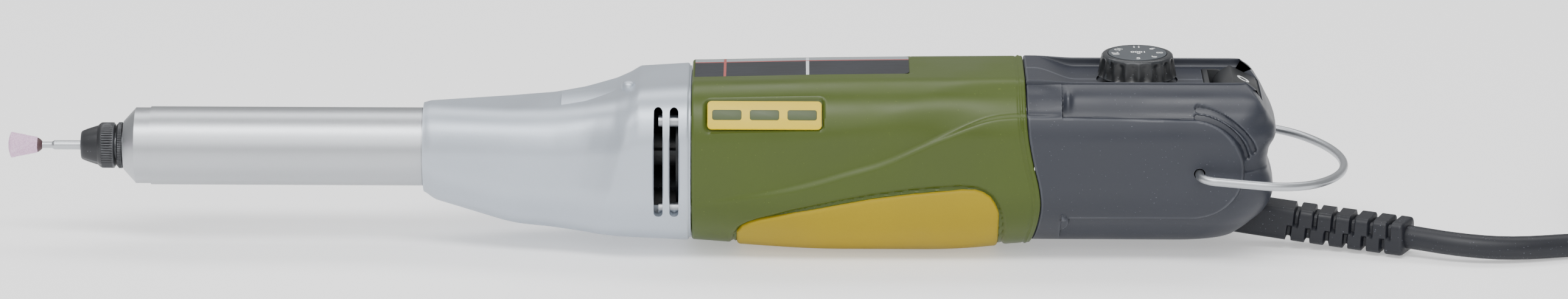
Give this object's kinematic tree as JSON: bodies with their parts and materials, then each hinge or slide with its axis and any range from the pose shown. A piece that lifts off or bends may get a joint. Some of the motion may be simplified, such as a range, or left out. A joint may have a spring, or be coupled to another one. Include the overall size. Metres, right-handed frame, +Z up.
{
  "type": "long-neck straight grinder",
  "caption": "Mains rotary grinder with a rigid long neck, collet for mounted points, speed dial, rocker switch, hanging bail and corded plug.",
  "frame": {"origin": "on the spindle axis, in the middle of the 20 mm clamping neck", "axes": "-X along the spindle towards the grinding point, +Z up through the speed dial"},
  "size_m": [0.4961, 0.1019, 0.0497],
  "materials": {
    "pink_stone": "matte, grainy",
    "brown_cement": "matte",
    "ground_steel": "ground",
    "black_oxide": "black oxide, satin",
    "bright_steel": "turned, brushed around",
    "cast_silver": "satin silver coat on a fine casting",
    "olive_plastic": "satin, glass-filled",
    "mustard_grip": "soft, fine texture",
    "yellow_plate": "printed",
    "black_label": "printed film",
    "slate_plastic": "satin, fine texture",
    "black_plastic": "satin",
    "dial_print": "printed, satin",
    "switch_black": "satin",
    "black_rubber": "matte",
    "nickel": "nickel plated wire",
    "iron_laminations": "stacked sheet",
    "copper": "enamelled wire",
    "carbon": "pressed carbon",
    "brush_brass": "sheet",
    "elastomer": "moulded",
    "board_green": "printed circuit board",
    "part_blue": "moulded component",
    "zinc": "zinc plated",
    "pin_nickel": "nickel plated"
  },
  "bodies": {
    "mounted_point": {"grinding_stone": "pink_stone", "stone_cement": "brown_cement", "bit_shank": "ground_steel"},
    "collet_unit": {"collet": "ground_steel"},
    "nut_unit": {"collet_nut": "black_oxide"},
    "spindle_unit": {"spindle": "ground_steel", "spindle_ring": "black_oxide", "spindle_front_inner_race": "ground_steel", "spindle_back_inner_race": "ground_steel", "coupling_front": "ground_steel", "coupling_spider": "elastomer"},
    "rotor": {"motor_shaft": "ground_steel", "motor_front_inner_race": "ground_steel", "motor_back_inner_race": "ground_steel", "coupling_back": "ground_steel", "fan": "black_plastic", "rotor_core": "iron_laminations", "rotor_windings": "copper", "commutator": "copper"},
    "dial_unit": {"speed_dial": "black_plastic", "dial_face": "dial_print"},
    "rocker_unit": {"rocker": "switch_black"},
    "bail_unit": {"bail_wire": "nickel"},
    "housing": {"nose_ring": "bright_steel", "neck_tube": "bright_steel", "head_casting": "cast_silver", "head_screws": "zinc", "spindle_front_outer_race": "ground_steel", "spindle_back_outer_race": "ground_steel", "spindle_bearing_balls": "ground_steel", "motor_front_outer_race": "ground_steel", "motor_back_outer_race": "ground_steel", "motor_bearing_balls": "ground_steel", "motor_housing": "olive_plastic", "grip_pad": "mustard_grip", "badge_plate": "yellow_plate", "rating_label": "black_label", "stator_core": "iron_laminations", "field_coils": "copper", "rear_bracket": "black_plastic", "brush_holders": "brush_brass", "carbon_brushes": "carbon", "brush_springs": "zinc", "rear_housing_left": "slate_plastic", "rear_housing_right": "slate_plastic", "housing_screws": "zinc", "control_board": "board_green", "potentiometer": "part_blue", "capacitor": "part_blue", "switch_body": "black_plastic", "cord_boot": "black_rubber", "cord_clamp": "black_plastic", "clamp_screws": "zinc", "mains_cord": "black_rubber", "cord_coil": "black_rubber", "cord_tail": "black_rubber", "cord_tie": "black_plastic", "plug_body": "black_rubber", "plug_pins": "pin_nickel"}
  },
  "joints": [
    {"name": "rotor_spin", "type": "hinge", "parent": "housing", "child": "rotor", "pos_m": [0.137, 0, 0], "axis": [1, 0, 0], "continuous": true},
    {"name": "spindle_spin", "type": "hinge", "parent": "housing", "child": "spindle_unit", "pos_m": [0, 0, 0], "axis": [1, 0, 0], "continuous": true},
    {"name": "collet_slide", "type": "slide", "parent": "spindle_unit", "child": "collet_unit", "axis": [-1, 0, 0], "range_m": [0, 0.00228]},
    {"name": "nut_turn", "type": "hinge", "parent": "collet_unit", "child": "nut_unit", "pos_m": [-0.048, 0, 0], "axis": [-1, 0, 0], "range_deg": [0, 1080]},
    {"name": "point_slide", "type": "slide", "parent": "collet_unit", "child": "mounted_point", "axis": [-1, 0, 0], "range_m": [0, 0.018]},
    {"name": "dial_turn", "type": "hinge", "parent": "housing", "child": "dial_unit", "pos_m": [0.2164, 0, 0.0188], "axis": [0, 0, 1], "range_deg": [-135, 135]},
    {"name": "rocker_tilt", "type": "hinge", "parent": "housing", "child": "rocker_unit", "pos_m": [0.23955, 0, 0.01369], "axis": [0, -1, 0], "range_deg": [0, 20]},
    {"name": "bail_swing", "type": "hinge", "parent": "housing", "child": "bail_unit", "pos_m": [0.2315, 0, 0], "axis": [0, -1, 0], "range_deg": [-10, 110]}
  ],
  "couplings": [
    {"joint": "spindle_spin", "follows": "rotor_spin", "ratio": 1},
    {"joint": "collet_slide", "follows": "nut_turn", "m_per_rad": 0.00011937}
  ]
}
